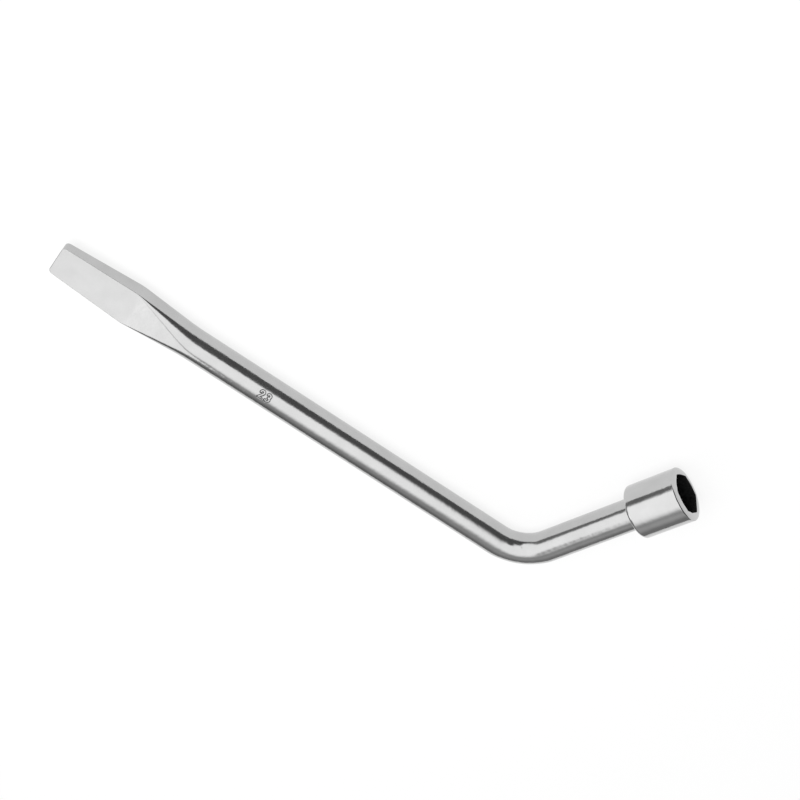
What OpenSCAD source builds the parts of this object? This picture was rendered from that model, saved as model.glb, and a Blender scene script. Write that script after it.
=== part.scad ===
// L-shaped lug wrench: a bent round bar with a hexagon socket on one end and a flat pry blade on the other.
// The origin is the centre of the socket's mouth. +X points out of the mouth, +Z up, and the bend lies in XY.

/* [Bar] */
// Diameter of the round bar
bar_d = 19.5; // [16:0.5:24]
// Socket arm, from the bend's corner to the socket's mouth
socket_arm = 113.6; // [90:0.2:160]
// Blade arm, from the bend's corner to the blade's tip
blade_arm = 327; // [240:1:450]
// Turn of the bar at the bend, from straight
bend_angle = 70; // [40:1:90]
// Radius of the bend, at the middle of the bar
bend_r = 28; // [24:1:40]
// Diameter that the bar loses where it is drawn round the bend
bend_draw = 0.5; // [0.1:0.1:1]

/* [Socket] */
// Nut that the socket turns, across flats
nut_af = 23; // [19:1:30]
// Play between the nut and the socket, across flats
nut_play = 0.2; // [0.1:0.05:0.6]
// Wall at the corners of the hexagon
corner_wall = 2.95; // [2:0.05:6]
// Turn of the hexagon about its axis, from two corners level with the bend
hex_turn = -18; // [-30:1:30]
// Depth of the hexagon
hex_depth = 20; // [14:0.5:30]
// Web behind the hexagon, which the bar's spigot fills
web_t = 13; // [8:0.2:20]
// Rounding of the outer edge at the back of the socket
back_edge_r = 2; // [0.5:0.1:3]
// Rounding of the outer edge at the mouth
mouth_edge_r = 2; // [0.3:0.1:2.4]
// How far the mouth's lead-in cone reaches past the hexagon's corners
lead_in = 0.3; // [0.1:0.1:0.5]
// Slope of the lead-in cone from the mouth's face
lead_in_angle = 30; // [15:5:45]

/* [Neck] */
// Diameter of the spigot turned on the bar's end
spigot_d = 15; // [10:0.5:15.5]
// Radial gap between the spigot and its bore
spigot_gap = 0.02; // [0.01:0.01:0.1]
// Gap left between the spigot's end and the floor of the hexagon
spigot_short = 0.4; // [0.2:0.1:2]
// Chamfer on the spigot's end
spigot_chamfer = 0.8; // [0.2:0.1:1.5]
// Leg of the fillet weld between the bar and the back of the socket
weld_leg = 1.8; // [0.8:0.1:2.4]

/* [Pry blade] */
// Width of the blade at its tip
tip_w = 20.8; // [14:0.2:24]
// Thickness of the blade at its tip
tip_t = 6; // [3:0.2:9]
// Rounding of the tip's corners
tip_corner_r = 2.5; // [1:0.5:6]
// Width of the blade where it is widest
widest_w = 25.2; // [24.2:0.2:32]
// Thickness of the blade where it is widest
widest_t = 9.2; // [7:0.2:15]
// Length of the blade's flat faces, from the tip to where it is widest
face_len = 49; // [30:1:80]
// Length over which the round bar is spread to the widest place
spread_len = 38; // [25:1:60]
// Length over which the faces run out on the bar
run_out_len = 40; // [30:1:90]
// Room left between the blade's trimmed sides and the bar behind it
trim_room = 0.7; // [0.3:0.1:1.5]
// How far the spread round stands outside the blade's edges where it is widest
edge_room = 0.4; // [0.2:0.1:1]

/* [Hidden] */
$fn = 96;
// Reach of cuts past the solids that they cut
past = 1;
// Angle by which the bend runs on inside both arms
bend_lap = 2;
// Steps in the round of each tip corner
corner_steps = 12;

// The hexagon's corners, the socket's outside and its length follow from the nut and the walls.
hex_af = nut_af + nut_play;
hex_corners = hex_af / cos(30);
socket_d = hex_corners + 2 * corner_wall;
socket_len = hex_depth + web_t;
lead_in_d = hex_corners + 2 * lead_in;

// The bend's tangent points are this far from its corner, on both arms.
bend_tangent = bend_r * tan(bend_angle / 2);
bar_r = bar_d / 2;
shoulder_x = -socket_len;
bend_x = -socket_arm + bend_tangent;

// Places along the blade arm, counted from the bend's corner.
widest_at = blade_arm - face_len;
spread_at = widest_at - spread_len;

// Half sizes of the blade, the slopes of its sides and faces, and the round that the bar is spread to.
tip_half_w = tip_w / 2;
tip_half_t = tip_t / 2;
widest_half_w = widest_w / 2;
widest_half_t = widest_t / 2;
trim_half_w = bar_r + trim_room;
side_angle = atan((widest_half_w - tip_half_w) / face_len);
face_slope = (widest_half_t - tip_half_t) / face_len;
spread_r = norm([widest_half_w, widest_half_t]) + edge_room;
// The run-out is a flat ramp from the widest place to the top of the bar.
run_out_at = widest_at - run_out_len;
run_out_slope = (bar_r - widest_half_t) / run_out_len;

// Carries children made along +X from the bend's corner to their place on the blade arm.
module on_blade_arm() {
    translate([-socket_arm, 0, 0]) rotate([0, 0, 180 - bend_angle]) children();
}

// Carries children made along +Z to the socket's axis, with +Z pointing out of the mouth and +X to +Y.
module on_socket_axis() {
    rotate([90, 0, 90]) children();
}

// Straight blade arm with its end spread out round, as a half section with its radius along X.
module blade_arm_section() {
    polygon([
        [0, bend_tangent],
        [bar_r, bend_tangent],
        [bar_r, spread_at],
        [spread_r, widest_at],
        [spread_r, blade_arm],
        [0, blade_arm]
    ]);
}

// Plan that the blade arm is trimmed to: tapered sides with round tip corners, and clear of the bar behind.
module blade_plan() {
    corner_x = blade_arm - tip_corner_r;
    corner_y = tip_half_w + tip_corner_r * tan(side_angle) - tip_corner_r / cos(side_angle);
    corner_step = (90 - side_angle) / corner_steps;
    edge = [
        [0, trim_half_w],
        [spread_at, trim_half_w],
        [widest_at, widest_half_w],
        for (i = [corner_steps:-1:0])
            [corner_x, corner_y] + tip_corner_r * [cos(i * corner_step), sin(i * corner_step)]
    ];
    polygon(concat(edge, [for (i = [len(edge) - 1:-1:0]) [edge[i].x, -edge[i].y]]));
}

// What is pressed away above the blade: its flat face, and the ramp that runs out on the bar.
module above_blade() {
    reach = spread_r + past;
    rotate([90, 0, 0]) linear_extrude(2 * reach, center = true) polygon([
        [run_out_at - past, bar_r + past * run_out_slope],
        [widest_at, widest_half_t],
        [blade_arm + past, tip_half_t - past * face_slope],
        [blade_arm + past, reach],
        [run_out_at - past, reach]
    ]);
}

// Blade arm from the end of the bend to the flat pry blade at its tip.
module blade() {
    difference() {
        intersection() {
            rotate([90, 0, 90]) rotate_extrude() blade_arm_section();
            linear_extrude(2 * (spread_r + past), center = true) blade_plan();
        }
        above_blade();
        mirror([0, 0, 1]) above_blade();
    }
}

// Bent bar with its blade, and the spigot that the socket sits on.
module shank() {
    color("silver") {
        on_socket_axis() {
            spigot_len = web_t - spigot_short;
            translate([0, 0, shoulder_x]) {
                cylinder(h = spigot_len - spigot_chamfer, d = spigot_d);
                translate([0, 0, spigot_len - spigot_chamfer])
                    cylinder(h = spigot_chamfer, d1 = spigot_d, d2 = spigot_d - 2 * spigot_chamfer);
            }
            translate([0, 0, bend_x]) cylinder(h = shoulder_x - bend_x, d = bar_d);
        }
        translate([bend_x, bend_r, 0]) rotate([0, 0, -90 - bend_angle - bend_lap])
            rotate_extrude(angle = bend_angle + 2 * bend_lap)
                translate([bend_r, 0]) circle(d = bar_d - bend_draw);
        on_blade_arm() blade();
    }
}

// Outside of the socket as a half section, with its radius along X and its mouth at height 0.
module socket_section() {
    r = socket_d / 2;
    polygon([
        [0, -socket_len],
        [r - back_edge_r, -socket_len],
        [r - back_edge_r, -socket_len + back_edge_r],
        [r, -socket_len + back_edge_r],
        [r, -mouth_edge_r],
        [r - mouth_edge_r, -mouth_edge_r],
        [r - mouth_edge_r, 0],
        [0, 0]
    ]);
    intersection() {
        translate([r - back_edge_r, -socket_len + back_edge_r]) circle(r = back_edge_r);
        translate([r - back_edge_r, -socket_len]) square(back_edge_r);
    }
    intersection() {
        translate([r - mouth_edge_r, -mouth_edge_r]) circle(r = mouth_edge_r);
        translate([r - mouth_edge_r, -mouth_edge_r]) square(mouth_edge_r);
    }
}

// Hexagon socket head, bored at the back for the spigot.
module socket() {
    cone_h = lead_in_d / 2 * tan(lead_in_angle);
    color("gainsboro") on_socket_axis() difference() {
        rotate_extrude() socket_section();
        translate([0, 0, -hex_depth]) rotate([0, 0, hex_turn])
            cylinder(h = hex_depth + past, d = hex_corners, $fn = 6);
        translate([0, 0, -cone_h]) cylinder(h = cone_h, d1 = 0, d2 = lead_in_d);
        translate([0, 0, shoulder_x - past])
            cylinder(h = web_t + 2 * past, d = spigot_d + 2 * spigot_gap);
    }
}

// Hollow fillet of weld metal in the corner between the bar and the back of the socket.
module neck_weld() {
    color("gray") on_socket_axis() translate([0, 0, shoulder_x]) rotate_extrude() difference() {
        translate([bar_r, -weld_leg]) square(weld_leg);
        translate([bar_r + weld_leg, -weld_leg]) circle(r = weld_leg);
    }
}

shank();
socket();
neck_weld();
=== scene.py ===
# Looks of an L-shaped lug wrench: a plated bar with a pry blade, a hexagon socket and the weld between them.
from math import asin, atan2, cos, pi, radians, sin, sqrt, tan

import bpy
import numpy as np
from mathutils import Matrix, Vector


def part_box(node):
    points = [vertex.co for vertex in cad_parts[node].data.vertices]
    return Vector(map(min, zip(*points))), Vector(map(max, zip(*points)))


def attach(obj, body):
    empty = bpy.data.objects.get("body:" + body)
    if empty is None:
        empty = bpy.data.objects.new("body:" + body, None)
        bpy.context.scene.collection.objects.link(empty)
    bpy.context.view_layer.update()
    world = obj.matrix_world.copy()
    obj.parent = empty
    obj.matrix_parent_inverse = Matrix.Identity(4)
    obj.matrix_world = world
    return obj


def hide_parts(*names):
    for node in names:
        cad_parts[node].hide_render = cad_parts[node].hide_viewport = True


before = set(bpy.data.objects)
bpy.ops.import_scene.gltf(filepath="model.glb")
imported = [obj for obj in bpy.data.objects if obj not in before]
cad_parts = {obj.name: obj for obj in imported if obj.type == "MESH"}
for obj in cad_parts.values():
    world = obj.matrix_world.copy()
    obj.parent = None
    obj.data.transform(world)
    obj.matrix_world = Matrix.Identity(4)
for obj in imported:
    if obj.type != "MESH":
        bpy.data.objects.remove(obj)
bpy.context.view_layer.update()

MM = 0.001
# Least divisor, where a direction or a stroke has no length
TINY = 1e-9

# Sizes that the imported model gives
SOCKET_LOW, SOCKET_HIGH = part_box("socket")
SOCKET_R = SOCKET_HIGH.z
SOCKET_LEN = -SOCKET_LOW.x
SHANK_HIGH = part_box("shank")[1]
BAR_R = SHANK_HIGH.z
WELD_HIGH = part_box("neck_weld")[1]
WELD_LEG = WELD_HIGH.z - BAR_R

# Bar and bend
SOCKET_ARM = 113.6 * MM
BLADE_ARM = 327 * MM
BEND_ANGLE = radians(70)
BEND_R = 28 * MM
BEND_TANGENT = BEND_R * tan(BEND_ANGLE / 2)
BEND_CORNER = (-SOCKET_ARM, 0, 0)
BLADE_WAY = (-cos(BEND_ANGLE), sin(BEND_ANGLE), 0)

# How much the bar is drawn in at the bend, and the share of the bend over which that sets in
BEND_DRAW = 0.25 * MM
BEND_EASE = 0.3

# Small dent on the upper inner side of the bend, placed by the share of the bend before it
DENT_ALONG = 0.44
DENT_TURN = radians(45)
DENT_R = 2.8 * MM
DENT_DEPTH = 0.28 * MM

# Spigot that the socket sits on
SPIGOT_R = 7.5 * MM
SPIGOT_LEN = 12.6 * MM
SPIGOT_END = SOCKET_LEN - SPIGOT_LEN
SPIGOT_CHAMFER = 0.8 * MM
SPIGOT_GAP = 0.02 * MM

# Pry blade, with places counted along the blade arm from the bend's corner
TIP_HALF_W = 10.4 * MM
TIP_HALF_T = 3.0 * MM
TIP_CORNER_R = 2.5 * MM
TIP_EDGE_R = 0.3 * MM
WIDEST_HALF_W = 12.6 * MM
WIDEST_HALF_T = 4.6 * MM
FACE_LEN = 49 * MM
WIDEST_AT = BLADE_ARM - FACE_LEN
WIDEST_EASE = 3 * MM
SPREAD_LEN = 38 * MM
SPREAD_AT = WIDEST_AT - SPREAD_LEN
SPREAD_EASE = 6 * MM
SPREAD_START = SPREAD_AT - SPREAD_EASE
BLADE_EDGE_R = 0.3 * MM

# Nut size stamped on the bar
STAMP_AT = 186.9 * MM
STAMP_TURN = radians(68.0)
STAMP_PITCH = 4.4 * MM
STAMP_HEIGHT = 4.7 * MM
STAMP_WIDTH = 2.2 * MM
STAMP_STROKE = 1.3 * MM
STAMP_WALL = 0.26 * MM
STAMP_DEPTH = 0.5 * MM
STAMP_REACH = STAMP_PITCH / 2 + STAMP_WIDTH / 2 + STAMP_STROKE
# Least fall across a face that makes it a wall of a digit
STAMP_STEEP = 0.08 * STAMP_DEPTH

# Bowls of the digit 3, as shares of a digit's height, and their middle as a share of its width
UPPER_BOWL = 0.235
LOWER_BOWL = 0.265
BOWL_MIDDLE = 0.48

# Hexagon socket
HEX_FLAT_R = 11.6 * MM
HEX_CORNER_R = HEX_FLAT_R / cos(radians(30))
HEX_TURN = radians(-18)
HEX_DEPTH = 20 * MM
HEX_CORNER_SOFT = 2.8 * MM
LEAD_IN_R = 11.95 * MM
LEAD_IN_SLOPE = tan(radians(30))
BORE_R = SPIGOT_R + SPIGOT_GAP
BACK_EDGE_R = 2.0 * MM
MOUTH_EDGE_R = 1.4 * MM
# Narrow strips that keep an edge crisp in smooth shading, and the small break between rim and lead-in
EDGE_STRIP = 0.15 * MM
HEX_TOP_STRIP = 0.6 * MM
RIM_BREAK = 0.05 * MM

# Weld bead: how far it sinks into its neighbours, the ripple of its passes and their wander
WELD_SINK = 0.06 * MM
RIPPLE_DEPTH = 0.05 * MM
RIPPLE_COUNT = 46
WANDER_SHARE = 0.6
WANDER_COUNT = 7
WANDER_START = 1.3

# Columns of points in each quarter of the bar: beside, over and past its rounded corner
CORNER_LOW = radians(15)
CORNER_HIGH = radians(75)
CORNER_MARGIN = radians(2.2)
SIDE_COLUMNS = 6
CORNER_COLUMNS = 30
STAMPED_CORNER_COLUMNS = 64
FACE_COLUMNS = 15

# Sections along the bar, and steps in its strokes
SOCKET_ARM_SECTIONS = 22
BEND_SECTIONS = 60
BLADE_ARM_SECTIONS = 40
STAMP_SECTIONS = 100
AFTER_STAMP_SECTIONS = 10
BLADE_SECTIONS = 100
TIP_SECTIONS = 24
ARC_STEPS = 16
# Rings inside the edge of the two end faces, as shares of the edge
SPIGOT_CAP_SHARE = 0.96
TIP_CAP_SHARE = 0.95

# Columns and rings of the socket and the weld
SOCKET_COLUMNS = 240
SOCKET_SIDE_RINGS = 9
BACK_EDGE_STEPS = 13
MOUTH_EDGE_STEPS = 17
LEAD_IN_SHARES = (0, 0.3, 0.6, 0.92)
HEX_WALL_SHARES = (0.3, 0.65)
WELD_COLUMNS = 192
WELD_STEPS = 14

# Places in the pieces' lists of materials
SHANK_PLATED = 0
# The stamped digits' walls, whose darker plating is painted shade in the grooves
SHANK_STAMP_SHADE = 1
SHANK_BARE = 2
SOCKET_PLATED = 0
SOCKET_BARE = 1

# Plating: clouds in its grey and roughness, and waves in its surface
NOISE_DETAIL = 3.0
CLOUD_SCALE = 90.0
CLOUD_LOW = 0.3
CLOUD_HIGH = 0.7
CLOUD_GREY = 0.02
CLOUD_SMOOTHER = 0.02
CLOUD_ROUGHER = 0.03
WAVE_SCALE = 300.0
WAVE_HEIGHT = 0.2 * MM

# Bare steel: its grain, from dark and smooth to light and rough
STEEL_METALLIC = 0.6
GRAIN_SCALE = 700.0
GRAIN_DARK_AT = 0.35
GRAIN_LIGHT_AT = 0.7
GRAIN_DARK = 0.008
GRAIN_LIGHT = 0.02
GRAIN_SMOOTH = 0.45
GRAIN_ROUGH = 0.65

# Camera, at the viewing angle of the photograph
CAMERA_AIM = Vector((-0.1102, 0.1331, 0.0))
CAMERA_DISTANCE = 0.8975
CAMERA_AZIMUTH = radians(130.76)
CAMERA_ELEVATION = radians(49.91)
CAMERA_ROLL = radians(162.84)
CAMERA_LENS = 70.70
CAMERA_SENSOR = 36.0

# Floor and world
STAGE_REACH = 4.0
FLOOR_GREY = 0.95
FLOOR_GLOW = 0.82
AMBIENT = 0.55

# Lamps
KEY_WATTS = 20.0
KEY_SIZE = 1.4
KEY_HEIGHT = 1.6
BLADE_LIGHT_WAY = Vector((-0.615, -0.219, 0.758)).normalized()
BLADE_LIGHT_AWAY = 0.4
BLADE_LIGHT_SIZE = 0.21
BLADE_LIGHT_WATTS = 0.12

# Light tent: its form, and the directions of its bright top and of the side near the camera
TENT_R = 1.5
TENT_RINGS = 90
TENT_COLUMNS = 120
TENT_POLE_GAP = 0.001
TENT_TOP = Vector((0.07, 0.41, 0.91)).normalized()
TENT_NEAR = Vector((0.5, 0.85, 0.0)).normalized()
# Brightness of the tent overhead, near the camera, towards -X, and low and high on the far side
TENT_BRIGHT = 1.48
TENT_DARK = 0.11
TENT_SIDE = 0.2
TENT_FAR_LOW = 0.18
TENT_FAR_HIGH = 0.44
# Shares of the far side's brightness, away from -Y and towards it
TENT_FAR_SHARE = 0.9
TENT_BACK_SHARE = 1.4
# Soft edges between those parts, as cosines of the angle from their directions
TENT_TOP_EDGE = (0.46, 0.72)
TENT_NEAR_EDGE = (-0.68, -0.20)
TENT_SIDE_EDGE = (0.1, 0.4)
TENT_FAR_EDGE = (0.1, 0.5)
TENT_FAR_RISE = (0.3, 0.8)
TENT_BACK_EDGE = (0.45, 0.8)
# Dark flags on the tent: azimuth, elevation, and where the soft edge starts and ends, in degrees
TENT_FLAGS = ((19, 30, 9, 19), (46, 12, 12, 27), (115, 7, 6, 19), (190, 54, 5, 16))


def blend(a, b, share):
    """What lies a share of the way from a to b."""
    return a + (b - a) * share


def smooth_step(x, low, high):
    """0 below low, 1 above high, and a smooth rise between them."""
    t = np.clip((x - low) / (high - low), 0, 1)
    return t * t * (3 - 2 * t)


def soft_min(a, b, k):
    """The smaller of a and b, with the corner between them rounded over a difference of k."""
    h = np.clip(k - np.abs(a - b), 0, None)
    return np.minimum(a, b) - h * h / (4 * k)


def soft_ramp(x, ease):
    """x where it is positive and 0 elsewhere, with the corner rounded over ease on both sides."""
    if x <= -ease:
        return 0.0
    if x >= ease:
        return x
    return (x + ease) ** 2 / (4 * ease)


def new_mesh(name, points, faces):
    """Smooth-shaded object in the scene, from points and faces."""
    mesh = bpy.data.meshes.new(name)
    mesh.from_pydata(points.tolist(), [], faces)
    mesh.update()
    mesh.shade_smooth()
    piece = bpy.data.objects.new(name, mesh)
    bpy.context.scene.collection.objects.link(piece)
    return piece


def ring_faces(rings, columns, closed=False):
    """Quads between rings of points, each ring joined to the next and, if closed, the last to the first."""
    faces = []
    for i in range(rings if closed else rings - 1):
        n = (i + 1) % rings
        for j in range(columns):
            k = (j + 1) % columns
            faces.append((i * columns + j, n * columns + j, n * columns + k, i * columns + k))
    return faces


def capped_rings(name, rings):
    """Closed piece through the rings, with a fan of triangles on the first and the last, made in turn."""
    count, columns = rings.shape[:2]
    points = np.vstack([rings.reshape(-1, 3), rings[0].mean(axis=0), rings[-1].mean(axis=0)])
    start = count * columns
    end = start + 1
    last = (count - 1) * columns
    faces = ring_faces(count, columns)
    for j in range(columns):
        k = (j + 1) % columns
        faces.append((start, j, k))
        faces.append((end, last + k, last + j))
    return new_mesh(name, points, faces)


def turned_piece(name, rings, turns):
    """Ring-shaped piece on the socket's axis, through rings of places along the axis and radii."""
    points = np.array([np.stack([x, r * np.cos(turns), r * np.sin(turns)], axis=1) for x, r in rings])
    return new_mesh(name, points.reshape(-1, 3), ring_faces(len(rings), len(turns), closed=True))


def bent_line(at, start, middle, end):
    """Size that runs from start on the bar to middle at the widest place and on to end at the tip."""
    spread_slope = (middle - start) / (WIDEST_AT - SPREAD_AT)
    face_slope = (end - middle) / (BLADE_ARM - WIDEST_AT)
    spread = soft_ramp(at - SPREAD_AT, SPREAD_EASE)
    face = soft_ramp(at - WIDEST_AT, WIDEST_EASE)
    return start + spread_slope * spread + (face_slope - spread_slope) * face


def round_inset(at, radius):
    """How far an edge round of a radius draws in at a place near the tip."""
    past = max(at - (BLADE_ARM - radius), 0)
    return radius - sqrt(max(radius ** 2 - past ** 2, 0))


def quarter_turns(low, high, corner_columns):
    """Angles of the columns in a quarter of the bar, whose rounded corner lies between low and high."""
    return np.concatenate([
        np.linspace(0, low, SIDE_COLUMNS, endpoint=False),
        np.linspace(low, high, corner_columns, endpoint=False),
        np.linspace(high, pi / 2, FACE_COLUMNS, endpoint=False),
    ])


def section_turns(low, high):
    """Angles of the columns all round the bar, closest together in the quarter that is stamped."""
    stamped = quarter_turns(low, high, STAMPED_CORNER_COLUMNS)
    plain = quarter_turns(low, high, CORNER_COLUMNS)
    falling = np.concatenate([[pi / 2], plain[:0:-1]])
    return np.concatenate([stamped, pi - falling, pi + plain, 2 * pi - falling])


PLAIN_TURNS = section_turns(CORNER_LOW, CORNER_HIGH)


def blade_section(at):
    """Angles and radii of the section at a place along the blade arm: a rectangle with round corners."""
    if at <= SPREAD_START:
        return PLAIN_TURNS, np.full(PLAIN_TURNS.shape, BAR_R)
    edge_inset = round_inset(at, TIP_EDGE_R)
    half_w = bent_line(at, BAR_R, WIDEST_HALF_W, TIP_HALF_W) - round_inset(at, TIP_CORNER_R) - edge_inset
    half_t = bent_line(at, BAR_R, WIDEST_HALF_T, TIP_HALF_T) - edge_inset
    corner_r = bent_line(at, BAR_R, BLADE_EDGE_R, BLADE_EDGE_R)
    flat_w = half_w - corner_r
    side_t = half_t - corner_r
    low = max(CORNER_LOW, atan2(side_t, half_w) - CORNER_MARGIN)
    high = min(CORNER_HIGH, atan2(half_t, flat_w) + CORNER_MARGIN)
    turns = section_turns(low, high)
    across = np.abs(np.cos(turns))
    up = np.abs(np.sin(turns))
    flat = half_t / np.maximum(up, TINY)
    side = half_w / np.maximum(across, TINY)
    reach = flat_w * across + side_t * up
    corner = reach + np.sqrt(np.maximum(reach ** 2 - flat_w ** 2 - side_t ** 2 + corner_r ** 2, 0))
    return turns, np.where(flat * across <= flat_w, flat, np.where(side * up <= side_t, side, corner))


def arc_points(centre, radius, start, end):
    """Points of an arc between two angles in degrees."""
    turns = np.radians(np.linspace(start, end, ARC_STEPS))
    return np.stack([centre[0] + radius * np.cos(turns), centre[1] + radius * np.sin(turns)], axis=1)


def digit_strokes():
    """Centre lines of the digits 2 and 3, each in its own box of STAMP_WIDTH by STAMP_HEIGHT."""
    bowl_r = STAMP_WIDTH / 2
    bowl = arc_points((bowl_r, STAMP_HEIGHT - bowl_r), bowl_r, start=185, end=-35)
    two = np.vstack([bowl, [[0, 0], [STAMP_WIDTH, 0]]])
    middle = BOWL_MIDDLE * STAMP_WIDTH
    upper_r = UPPER_BOWL * STAMP_HEIGHT
    lower_r = LOWER_BOWL * STAMP_HEIGHT
    upper = arc_points((middle, STAMP_HEIGHT - upper_r), upper_r, start=150, end=-90)
    lower = arc_points((middle, lower_r), lower_r, start=90, end=-150)
    return two, np.vstack([upper, lower])


def stroke_distance(points, line):
    """Distance of each point from a line through several places."""
    best = np.full(points.shape[:-1], np.inf)
    for a, b in zip(line[:-1], line[1:]):
        d = b - a
        t = np.clip(((points - a) @ d) / max(d @ d, TINY ** 2), 0, 1)
        best = np.minimum(best, np.linalg.norm(points - a - t[..., None] * d, axis=-1))
    return best


def stamp_depth(at, turns):
    """How deep the stamped digits lie at a place along the blade arm and at angles round the bar."""
    turn = (turns - STAMP_TURN + pi) % (2 * pi) - pi
    up = STAMP_HEIGHT / 2 - turn * BAR_R
    depth = np.zeros(turns.shape)
    for pitches, line in zip((-0.5, 0.5), digit_strokes()):
        left = STAMP_AT - pitches * STAMP_PITCH + STAMP_WIDTH / 2
        points = np.stack([np.full(turns.shape, left - at), up], axis=-1)
        gap = stroke_distance(points, line) - STAMP_STROKE / 2
        depth = np.maximum(depth, STAMP_DEPTH * np.clip(0.5 - gap / (2 * STAMP_WALL), 0, 1))
    return depth


def stamp_walls(depths):
    """Which faces between rings of stamp depths are the walls of the digits."""
    here = depths[:-1]
    beyond = depths[1:]
    corners = np.stack([here, beyond, np.roll(here, -1, axis=1), np.roll(beyond, -1, axis=1)])
    return np.ptp(corners, axis=0) > STAMP_STEEP


def blade_stations():
    """Places along the blade arm with a section each, closer together where the shape changes."""
    stamp_start = STAMP_AT - STAMP_REACH
    stamp_end = STAMP_AT + STAMP_REACH
    corner_at = BLADE_ARM - TIP_CORNER_R
    return np.concatenate([
        np.linspace(BEND_TANGENT, stamp_start, BLADE_ARM_SECTIONS, endpoint=False),
        np.linspace(stamp_start, stamp_end, STAMP_SECTIONS, endpoint=False),
        np.linspace(stamp_end, SPREAD_START, AFTER_STAMP_SECTIONS, endpoint=False),
        np.linspace(SPREAD_START, corner_at, BLADE_SECTIONS, endpoint=False),
        corner_at + TIP_CORNER_R * np.sin(np.linspace(0, pi / 2, TIP_SECTIONS)),
    ])


def ring(centre, along, turns, radii):
    """Points at angles from the inner side of the bend towards +Z, in the plane square to the bar."""
    inner = np.array([along[1], -along[0], 0.0])
    up = np.array([0.0, 0.0, 1.0])
    return centre + radii[:, None] * (np.cos(turns)[:, None] * inner + np.sin(turns)[:, None] * up)


def socket_arm_ring(x, radius):
    """Round section at a place on the socket's axis."""
    radii = np.full(PLAIN_TURNS.shape, radius)
    return ring(np.array([x, 0, 0]), np.array([-1.0, 0.0, 0.0]), PLAIN_TURNS, radii)


def spigot_rings():
    """Sections from the spigot's end, inside the socket, to the shoulder of the bar."""
    end_r = SPIGOT_R - SPIGOT_CHAMFER
    section = (
        (-SPIGOT_END, SPIGOT_CAP_SHARE * end_r),
        (-SPIGOT_END, end_r),
        (-SPIGOT_END - SPIGOT_CHAMFER, SPIGOT_R),
        (-SOCKET_LEN, SPIGOT_R),
        (-SOCKET_LEN, BAR_R),
    )
    return [socket_arm_ring(x, radius) for x, radius in section]


def socket_arm_rings():
    """Sections of the bar between its shoulder and the bend."""
    places = np.linspace(-SOCKET_LEN, -SOCKET_ARM + BEND_TANGENT, SOCKET_ARM_SECTIONS + 2)
    return [socket_arm_ring(x, BAR_R) for x in places[1:-1]]


def bend_rings():
    """Sections of the bend, where the bar is drawn in and has its dent."""
    centre = np.array([-SOCKET_ARM + BEND_TANGENT, BEND_R, 0])
    rings = []
    for share in np.linspace(0, 1, BEND_SECTIONS, endpoint=False):
        turn = share * BEND_ANGLE
        out = np.array([-sin(turn), -cos(turn), 0])
        along = np.array([-cos(turn), sin(turn), 0])
        eased = smooth_step(share, 0, BEND_EASE) * (1 - smooth_step(share, 1 - BEND_EASE, 1))
        gap = np.hypot((share - DENT_ALONG) * BEND_ANGLE * BEND_R, (PLAIN_TURNS - DENT_TURN) * BAR_R)
        dent = DENT_DEPTH * (1 - smooth_step(gap, 0, DENT_R))
        rings.append(ring(centre + BEND_R * out, along, PLAIN_TURNS, BAR_R - BEND_DRAW * eased - dent))
    return rings


def blade_arm_rings():
    """Sections from the bend to the blade's tip, and the stamp's depths in all of them but the last."""
    corner = np.array(BEND_CORNER)
    along = np.array(BLADE_WAY)
    rings = []
    depths = []
    for at in blade_stations():
        turns, radii = blade_section(at)
        depth = stamp_depth(at, turns)
        depths.append(depth)
        rings.append(ring(corner + at * along, along, turns, radii - depth))
    turns, radii = blade_section(BLADE_ARM)
    rings.append(ring(corner + BLADE_ARM * along, along, turns, TIP_CAP_SHARE * radii))
    return rings, np.array(depths)


def make_shank():
    """Bent bar from the spigot in the socket, round the bend and to the tip of the pry blade."""
    spigot = spigot_rings()
    plain = spigot + socket_arm_rings() + bend_rings()
    blade_arm, depths = blade_arm_rings()
    rings = plain + blade_arm
    piece = capped_rings("shank_bar", np.array(rings))
    columns = len(PLAIN_TURNS)
    spigot_faces = (len(spigot) - 1) * columns
    blade_from = len(plain) * columns
    ends_from = (len(rings) - 1) * columns
    finish = np.full(len(piece.data.polygons), SHANK_PLATED, dtype=np.int32)
    # The digits' walls take the darker plating: painted shade in the stamped grooves
    finish[blade_from + np.flatnonzero(stamp_walls(depths))] = SHANK_STAMP_SHADE
    finish[:spigot_faces] = SHANK_BARE
    # The faces of the two ends were made in turn, the spigot's first.
    finish[ends_from::2] = SHANK_BARE
    piece.data.polygons.foreach_set("material_index", finish)
    return piece


def hex_radius(turns):
    """Distance of the hexagon's walls from its axis, with its corners slightly rounded."""
    off_middle = (turns - HEX_TURN) % (pi / 3) - pi / 6
    return soft_min(HEX_FLAT_R / np.cos(off_middle), HEX_CORNER_R, HEX_CORNER_SOFT)


def socket_outside():
    """Places and radii of the turned outside, from the bore at the back to the rounding of the mouth."""
    back_r = SOCKET_R - BACK_EDGE_R
    section = [(-SOCKET_LEN, BORE_R), (-SOCKET_LEN, BORE_R + EDGE_STRIP), (-SOCKET_LEN, back_r - EDGE_STRIP)]
    for t in np.linspace(0, pi / 2, BACK_EDGE_STEPS):
        section.append((-SOCKET_LEN + BACK_EDGE_R * (1 - cos(t)), back_r + BACK_EDGE_R * sin(t)))
    section.append((-SOCKET_LEN + BACK_EDGE_R + EDGE_STRIP, SOCKET_R))
    section += [(x, SOCKET_R) for x in np.linspace(-SOCKET_LEN, 0, SOCKET_SIDE_RINGS + 3)[2:-1]]
    section.append((-MOUTH_EDGE_R - EDGE_STRIP, SOCKET_R))
    return section


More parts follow.
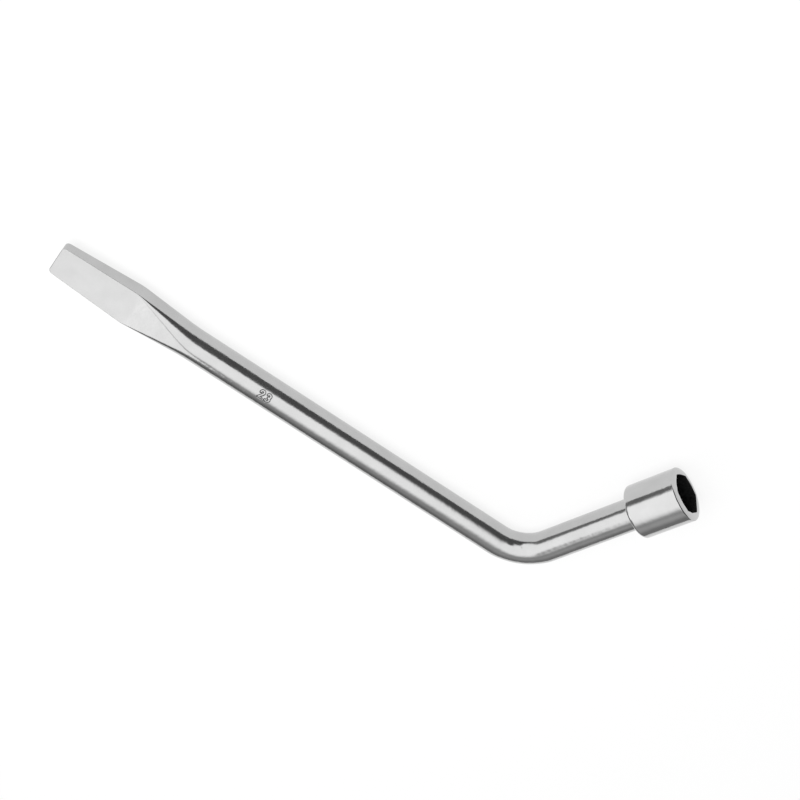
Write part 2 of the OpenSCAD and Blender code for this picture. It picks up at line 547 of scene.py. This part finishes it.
def make_socket():
    """Socket head: its turned outside, domed rim, lead-in, hexagon and the bore for the spigot."""
    turns = HEX_TURN - np.linspace(0, 2 * pi, SOCKET_COLUMNS, endpoint=False)
    ones = np.ones(SOCKET_COLUMNS)
    hexagon = hex_radius(turns)
    edge_r = np.maximum(hexagon, LEAD_IN_R)
    rim_r = edge_r + RIM_BREAK
    lead_in_x = -RIM_BREAK - (rim_r - hexagon) * LEAD_IN_SLOPE
    rings = [(x * ones, r * ones) for x, r in socket_outside()]
    for t in np.linspace(0, pi / 2, MOUTH_EDGE_STEPS):
        rings.append((-MOUTH_EDGE_R * (1 - sin(t)) * ones, blend(rim_r, SOCKET_R, cos(t))))
    for share in LEAD_IN_SHARES:
        rings.append((blend(-RIM_BREAK, lead_in_x, share), blend(edge_r, hexagon, share)))
    bare_from = len(rings) - 2
    rings += [(lead_in_x - strip, hexagon) for strip in (EDGE_STRIP, HEX_TOP_STRIP)]
    rings += [(-share * HEX_DEPTH * ones, hexagon) for share in HEX_WALL_SHARES]
    rings += [
        ((-HEX_DEPTH + EDGE_STRIP) * ones, hexagon),
        (-HEX_DEPTH * ones, hexagon - EDGE_STRIP),
        (-HEX_DEPTH * ones, (BORE_R + EDGE_STRIP) * ones),
        ((-HEX_DEPTH - EDGE_STRIP) * ones, BORE_R * ones),
        ((-SOCKET_LEN + EDGE_STRIP) * ones, BORE_R * ones),
    ]
    piece = turned_piece("socket_head", rings, turns)
    finish = np.full(len(piece.data.polygons), SOCKET_PLATED, dtype=np.int32)
    finish[bare_from * SOCKET_COLUMNS:] = SOCKET_BARE
    piece.data.polygons.foreach_set("material_index", finish)
    return piece


def make_weld():
    """Hollow fillet bead between the bar and the back of the socket, slightly rippled."""
    turns = np.linspace(0, 2 * pi, WELD_COLUMNS, endpoint=False)
    ones = np.ones(WELD_COLUMNS)
    wander = WANDER_SHARE * np.cos(WANDER_COUNT * turns + WANDER_START)
    ripple = RIPPLE_DEPTH * (np.cos(RIPPLE_COUNT * turns) + wander)
    sunk_x = (-SOCKET_LEN + WELD_SINK) * ones
    sunk_r = (BAR_R - WELD_SINK) * ones
    rings = [(sunk_x, sunk_r), (sunk_x, (BAR_R + WELD_LEG) * ones)]
    for t in np.linspace(0, pi / 2, WELD_STEPS):
        leg = WELD_LEG + ripple * sin(2 * t)
        rings.append((-SOCKET_LEN - WELD_LEG + leg * cos(t), BAR_R + WELD_LEG - leg * sin(t)))
    rings.append(((-SOCKET_LEN - WELD_LEG) * ones, sunk_r))
    return turned_piece("weld_bead", rings, turns)


def new_material(name):
    """Material with an empty node tree."""
    material = bpy.data.materials.new(name)
    material.use_nodes = True
    material.node_tree.nodes.clear()
    return material


def show(tree, shader, output_type="ShaderNodeOutputMaterial"):
    """Links what a shader gives to a new output node."""
    output = tree.nodes.new(output_type)
    tree.links.new(shader.outputs[0], output.inputs["Surface"])


def map_range(tree, value, low, high, start=0.0, end=1.0):
    """Socket that carries value from start..end to low..high."""
    node = tree.nodes.new("ShaderNodeMapRange")
    node.inputs["From Min"].default_value = start
    node.inputs["From Max"].default_value = end
    node.inputs["To Min"].default_value = low
    node.inputs["To Max"].default_value = high
    tree.links.new(value, node.inputs["Value"])
    return node.outputs["Result"]


def noise(tree, scale):
    """Socket with noise that is fixed to the piece."""
    place = tree.nodes.new("ShaderNodeTexCoord")
    node = tree.nodes.new("ShaderNodeTexNoise")
    node.inputs["Scale"].default_value = scale
    node.inputs["Detail"].default_value = NOISE_DETAIL
    tree.links.new(place.outputs["Object"], node.inputs["Vector"])
    return node.outputs["Fac"]


def grey_ramp(tree, value, *stops):
    """Socket with the grey of a value between two stops, each a value and its grey."""
    ramp = tree.nodes.new("ShaderNodeValToRGB")
    for element, (position, grey) in zip(ramp.color_ramp.elements, stops):
        element.position = position
        element.color = (grey, grey, grey, 1)
    tree.links.new(value, ramp.inputs["Fac"])
    return ramp.outputs["Color"]


def plating(name, grey, roughness, wave):
    """Bright nickel-chrome plate over polished steel, with slight waves and cloudy gloss."""
    material = new_material(name)
    tree = material.node_tree
    shader = tree.nodes.new("ShaderNodeBsdfPrincipled")
    shader.inputs["Metallic"].default_value = 1.0
    cloud = noise(tree, CLOUD_SCALE)
    color = grey_ramp(tree, cloud, (CLOUD_LOW, grey - CLOUD_GREY), (CLOUD_HIGH, grey + CLOUD_GREY))
    tree.links.new(color, shader.inputs["Base Color"])
    smoothest = roughness - CLOUD_SMOOTHER
    roughest = roughness + CLOUD_ROUGHER
    gloss = map_range(tree, cloud, smoothest, roughest, CLOUD_LOW, CLOUD_HIGH)
    tree.links.new(gloss, shader.inputs["Roughness"])
    bump = tree.nodes.new("ShaderNodeBump")
    bump.inputs["Strength"].default_value = wave
    bump.inputs["Distance"].default_value = WAVE_HEIGHT
    tree.links.new(noise(tree, WAVE_SCALE), bump.inputs["Height"])
    tree.links.new(bump.outputs["Normal"], shader.inputs["Normal"])
    show(tree, shader)
    return material


def bare_steel(name):
    """Dark unplated steel inside the hexagon and on the spigot."""
    material = new_material(name)
    tree = material.node_tree
    shader = tree.nodes.new("ShaderNodeBsdfPrincipled")
    shader.inputs["Metallic"].default_value = STEEL_METALLIC
    grain = noise(tree, GRAIN_SCALE)
    color = grey_ramp(tree, grain, (GRAIN_DARK_AT, GRAIN_DARK), (GRAIN_LIGHT_AT, GRAIN_LIGHT))
    tree.links.new(color, shader.inputs["Base Color"])
    gloss = map_range(tree, grain, GRAIN_SMOOTH, GRAIN_ROUGH, CLOUD_LOW, CLOUD_HIGH)
    tree.links.new(gloss, shader.inputs["Roughness"])
    show(tree, shader)
    return material


def shown_rays(tree):
    """Socket that is 1 for rays from the camera, in gloss and through glass."""
    path = tree.nodes.new("ShaderNodeLightPath")
    shown = path.outputs["Is Camera Ray"]
    for kind in ("Is Glossy Ray", "Is Transmission Ray"):
        either = tree.nodes.new("ShaderNodeMath")
        either.operation = "MAXIMUM"
        tree.links.new(shown, either.inputs[0])
        tree.links.new(path.outputs[kind], either.inputs[1])
        shown = either.outputs["Value"]
    return shown


def floor_material():
    """White floor that keeps a faint shadow."""
    material = new_material("floor_white")
    tree = material.node_tree
    diffuse = tree.nodes.new("ShaderNodeBsdfDiffuse")
    diffuse.inputs["Color"].default_value = (FLOOR_GREY, FLOOR_GREY, FLOOR_GREY, 1)
    glow = tree.nodes.new("ShaderNodeEmission")
    glow.inputs["Color"].default_value = (1, 1, 1, 1)
    mix = tree.nodes.new("ShaderNodeMixShader")
    tree.links.new(map_range(tree, shown_rays(tree), 0.0, FLOOR_GLOW), mix.inputs["Fac"])
    tree.links.new(diffuse.outputs["BSDF"], mix.inputs[1])
    tree.links.new(glow.outputs["Emission"], mix.inputs[2])
    show(tree, mix)
    return material


def tent_material():
    """Cloth that glows as bright as the mesh's level."""
    material = new_material("tent_cloth")
    tree = material.node_tree
    level = tree.nodes.new("ShaderNodeAttribute")
    level.attribute_name = "level"
    glow = tree.nodes.new("ShaderNodeEmission")
    tree.links.new(level.outputs["Fac"], glow.inputs["Strength"])
    show(tree, glow)
    return material


def floor_frame():
    """Where the wrench comes to rest: along the bar of the blade arm and on the rim at the socket's back."""
    side = Vector((sin(BEND_ANGLE), cos(BEND_ANGLE), 0))
    up = Vector((0, 0, 1))
    corner = Vector(BEND_CORNER)
    rim = Vector((-SOCKET_LEN + BACK_EDGE_R / 2, 0, 0)) - corner
    tilt = asin((SOCKET_R - BAR_R) / rim.dot(side))
    normal = up * cos(tilt) + side * sin(tilt)
    return corner - normal * BAR_R, normal


def make_floor():
    """Floor under the wrench."""
    point, normal = floor_frame()
    r = STAGE_REACH
    corners = np.array([[-r, -r, 0], [r, -r, 0], [r, r, 0], [-r, r, 0]])
    floor = new_mesh("floor", corners, [(0, 1, 2, 3)])
    turn = Vector((0, 0, 1)).rotation_difference(normal)
    floor.matrix_world = Matrix.Translation(point) @ turn.to_matrix().to_4x4()
    floor.data.materials.append(floor_material())


def way_to(azimuth, elevation):
    """Direction at an azimuth and an elevation in degrees."""
    level = cos(radians(elevation))
    return np.array([cos(radians(azimuth)) * level, sin(radians(azimuth)) * level, sin(radians(elevation))])


def tent_levels(ways):
    """Brightness of the tent in each direction: bright overhead but for the flags, and dark elsewhere."""
    near = ways @ np.array(TENT_NEAR)
    bright = smooth_step(ways @ np.array(TENT_TOP), *TENT_TOP_EDGE) * smooth_step(near, *TENT_NEAR_EDGE)
    for azimuth, elevation, start, end in TENT_FLAGS:
        flag = smooth_step(ways @ way_to(azimuth, elevation), cos(radians(end)), cos(radians(start)))
        bright *= 1 - flag
    far = blend(TENT_FAR_LOW, TENT_FAR_HIGH, smooth_step(ways[:, 2], *TENT_FAR_RISE))
    far *= blend(TENT_FAR_SHARE, TENT_BACK_SHARE, smooth_step(-ways[:, 1], *TENT_BACK_EDGE))
    side = blend(TENT_DARK, TENT_SIDE, smooth_step(-ways[:, 0], *TENT_SIDE_EDGE))
    dim = blend(side, far, smooth_step(-near, *TENT_FAR_EDGE))
    return blend(dim, TENT_BRIGHT, bright)


def make_tent():
    """Light tent round the stage, which only the metal shows."""
    lift = np.linspace(-pi / 2 + TENT_POLE_GAP, pi / 2 - TENT_POLE_GAP, TENT_RINGS)
    turn = np.linspace(0, 2 * pi, TENT_COLUMNS, endpoint=False)
    up, around = np.meshgrid(lift, turn, indexing="ij")
    ways = np.stack([np.cos(up) * np.cos(around), np.cos(up) * np.sin(around), np.sin(up)], axis=-1)
    ways = ways.reshape(-1, 3)
    tent = new_mesh("tent", ways * TENT_R, ring_faces(TENT_RINGS, TENT_COLUMNS))
    tent.location = CAMERA_AIM
    level = tent.data.attributes.new("level", "FLOAT", "POINT")
    level.data.foreach_set("value", tent_levels(ways).astype(np.float32))
    tent.data.materials.append(tent_material())
    tent.visible_camera = False
    tent.visible_diffuse = False
    tent.visible_transmission = False
    tent.visible_volume_scatter = False
    tent.visible_shadow = False


def make_world():
    """White surroundings, dimmer as light than they look."""
    world = bpy.data.worlds.new("studio")
    bpy.context.scene.world = world
    world.use_nodes = True
    tree = world.node_tree
    tree.nodes.clear()
    backdrop = tree.nodes.new("ShaderNodeBackground")
    backdrop.inputs["Color"].default_value = (1, 1, 1, 1)
    tree.links.new(map_range(tree, shown_rays(tree), AMBIENT, 1.0), backdrop.inputs["Strength"])
    show(tree, backdrop, "ShaderNodeOutputWorld")


def add_lamp(name, place, way, size, watts):
    """Round soft lamp at a place, shining back along a way."""
    lamp = bpy.data.lights.new(name, "AREA")
    lamp.shape = "DISK"
    lamp.size = size
    lamp.energy = watts
    piece = bpy.data.objects.new(name, lamp)
    piece.location = place
    piece.rotation_euler = way.to_track_quat("Z", "Y").to_euler()
    piece.visible_camera = False
    bpy.context.scene.collection.objects.link(piece)
    return piece


def make_lamps():
    """Key lamp overhead, where the metal shows the tent instead, and a small lamp for the blade's face."""
    key = add_lamp("key", CAMERA_AIM + KEY_HEIGHT * TENT_TOP, TENT_TOP, KEY_SIZE, KEY_WATTS)
    key.visible_glossy = False
    blade = Vector(BEND_CORNER) + WIDEST_AT * Vector(BLADE_WAY)
    place = blade + BLADE_LIGHT_AWAY * BLADE_LIGHT_WAY
    add_lamp("blade_light", place, BLADE_LIGHT_WAY, BLADE_LIGHT_SIZE, BLADE_LIGHT_WATTS)


def make_camera():
    """Camera at the photograph's viewing angle."""
    back = Vector((
        sin(CAMERA_AZIMUTH) * cos(CAMERA_ELEVATION),
        -cos(CAMERA_AZIMUTH) * cos(CAMERA_ELEVATION),
        sin(CAMERA_ELEVATION),
    ))
    right = Vector((0, 0, 1)).cross(back).normalized()
    up = back.cross(right)
    rolled_up = up * cos(CAMERA_ROLL) + right * sin(CAMERA_ROLL)
    rolled_right = rolled_up.cross(back)
    camera = bpy.data.cameras.new("camera")
    camera.lens = CAMERA_LENS
    camera.sensor_width = CAMERA_SENSOR
    piece = bpy.data.objects.new("camera", camera)
    axes = Matrix((rolled_right, rolled_up, back)).transposed().to_4x4()
    piece.matrix_world = Matrix.Translation(CAMERA_AIM + back * CAMERA_DISTANCE) @ axes
    bpy.context.scene.collection.objects.link(piece)
    bpy.context.scene.camera = piece


def dress(piece, node, slot, *materials):
    """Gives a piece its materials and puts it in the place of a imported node."""
    for material in materials:
        piece.data.materials.append(material)
    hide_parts(node)
    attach(piece, "root")


bar_plate = plating("bar_plate", grey=0.5, roughness=0.15, wave=0.4)
socket_plate = plating("socket_plate", grey=0.52, roughness=0.11, wave=0.25)
weld_plate = plating("weld_plate", grey=0.33, roughness=0.45, wave=0.8)
# Digits' walls: the duller roughness is the plating's own, and the darker grey is painted shade in the
# stamped grooves
stamp_plate_painted_shade = plating("stamp_plate_painted_shade", grey=0.2, roughness=0.5, wave=0.8)
hex_steel = bare_steel("hex_steel")

dress(make_shank(), "shank", "bar_plating", bar_plate, stamp_plate_painted_shade, hex_steel)
dress(make_socket(), "socket", "socket_plating", socket_plate, hex_steel)
dress(make_weld(), "neck_weld", "bar_plating", weld_plate)

make_floor()
make_tent()
make_world()
make_lamps()
make_camera()
bpy.context.scene.view_settings.view_transform = "Standard"
